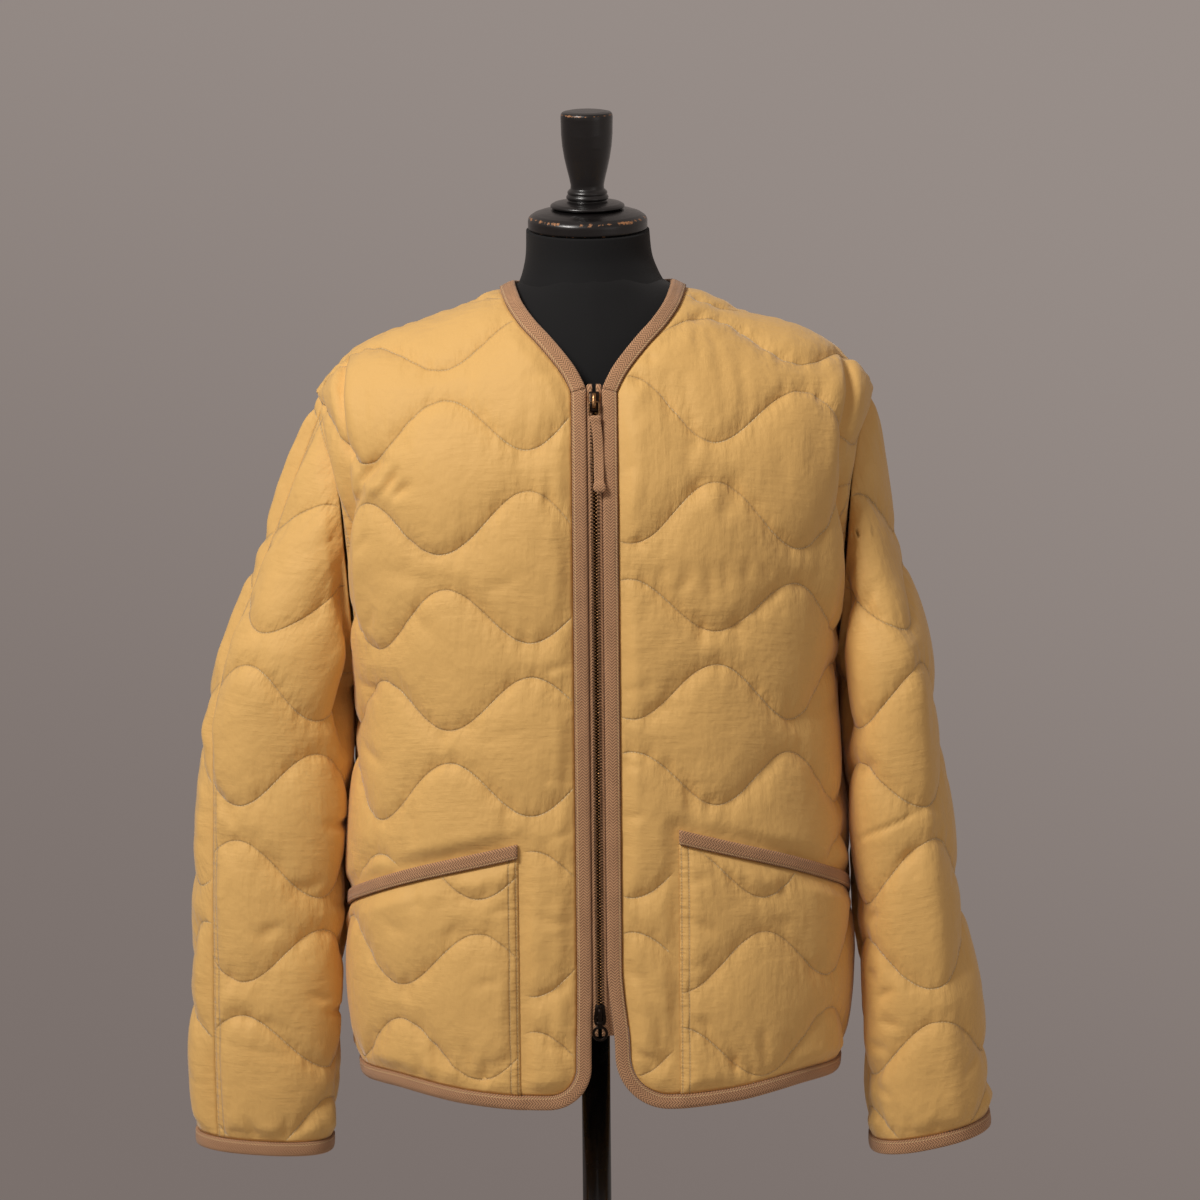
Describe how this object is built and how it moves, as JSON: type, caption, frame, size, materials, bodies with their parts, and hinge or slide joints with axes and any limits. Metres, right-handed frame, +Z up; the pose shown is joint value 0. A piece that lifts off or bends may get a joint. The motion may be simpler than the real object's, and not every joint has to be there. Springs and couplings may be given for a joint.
{
  "type": "quilted jacket on a dress form",
  "caption": "Collarless quilted liner jacket with bound edges, front zip, patch pockets and long sleeves, worn by a limbless dress form on a pole stand.",
  "frame": {"origin": "On the floor, on the base's underside, below the middle of the jacket's front opening. The base's own centre lies 4 mm to the -X side.", "axes": "Z up, the front of the jacket faces -Y, and +X is the viewer's right when facing the front."},
  "size_m": [0.689, 0.37, 1.5656],
  "materials": {
    "quilted_cloth": "matt plain weave nylon over padding, quilted",
    "edge_tape": "matt herringbone tape",
    "zip_metal": "dark antique plating, worn bright at the edges",
    "dark_metal": "black enamel",
    "form_cloth": "matt black jersey",
    "painted_wood": "worn black paint"
  },
  "bodies": {
    "jacket_and_form": {"front_left": "quilted_cloth", "front_right": "quilted_cloth", "back": "quilted_cloth", "sleeve_left_front": "quilted_cloth", "sleeve_left_back": "quilted_cloth", "sleeve_right_front": "quilted_cloth", "sleeve_right_back": "quilted_cloth", "pocket_left": "quilted_cloth", "pocket_right": "quilted_cloth", "pocket_binding_left": "edge_tape", "pocket_binding_right": "edge_tape", "cuff_binding_left": "edge_tape", "cuff_binding_right": "edge_tape", "neck_binding": "edge_tape", "front_hem_binding": "edge_tape", "zip_tape_left": "edge_tape", "zip_tape_right": "edge_tape", "zip_chain": "zip_metal", "zip_slider_top": "zip_metal", "zip_slider_bottom": "zip_metal", "form_torso": "form_cloth", "neck_cap": "painted_wood", "finial": "painted_wood", "pole_collar": "dark_metal", "pole": "dark_metal", "base": "dark_metal"},
    "pull_top": {"zip_pull_top": "zip_metal", "zip_pull_tape": "edge_tape"},
    "pull_bottom": {"zip_pull_bottom": "zip_metal"}
  },
  "joints": [
    {"name": "pull_top_hinge", "type": "hinge", "parent": "jacket_and_form", "child": "pull_top", "pos_m": [0, -0.13523, 1.32517], "axis": [-1, 0, 0], "range_deg": [0, 130]},
    {"name": "pull_bottom_hinge", "type": "hinge", "parent": "jacket_and_form", "child": "pull_bottom", "pos_m": [0, -0.1523, 0.8229], "axis": [-1, 0, 0], "range_deg": [0, 130]}
  ]
}
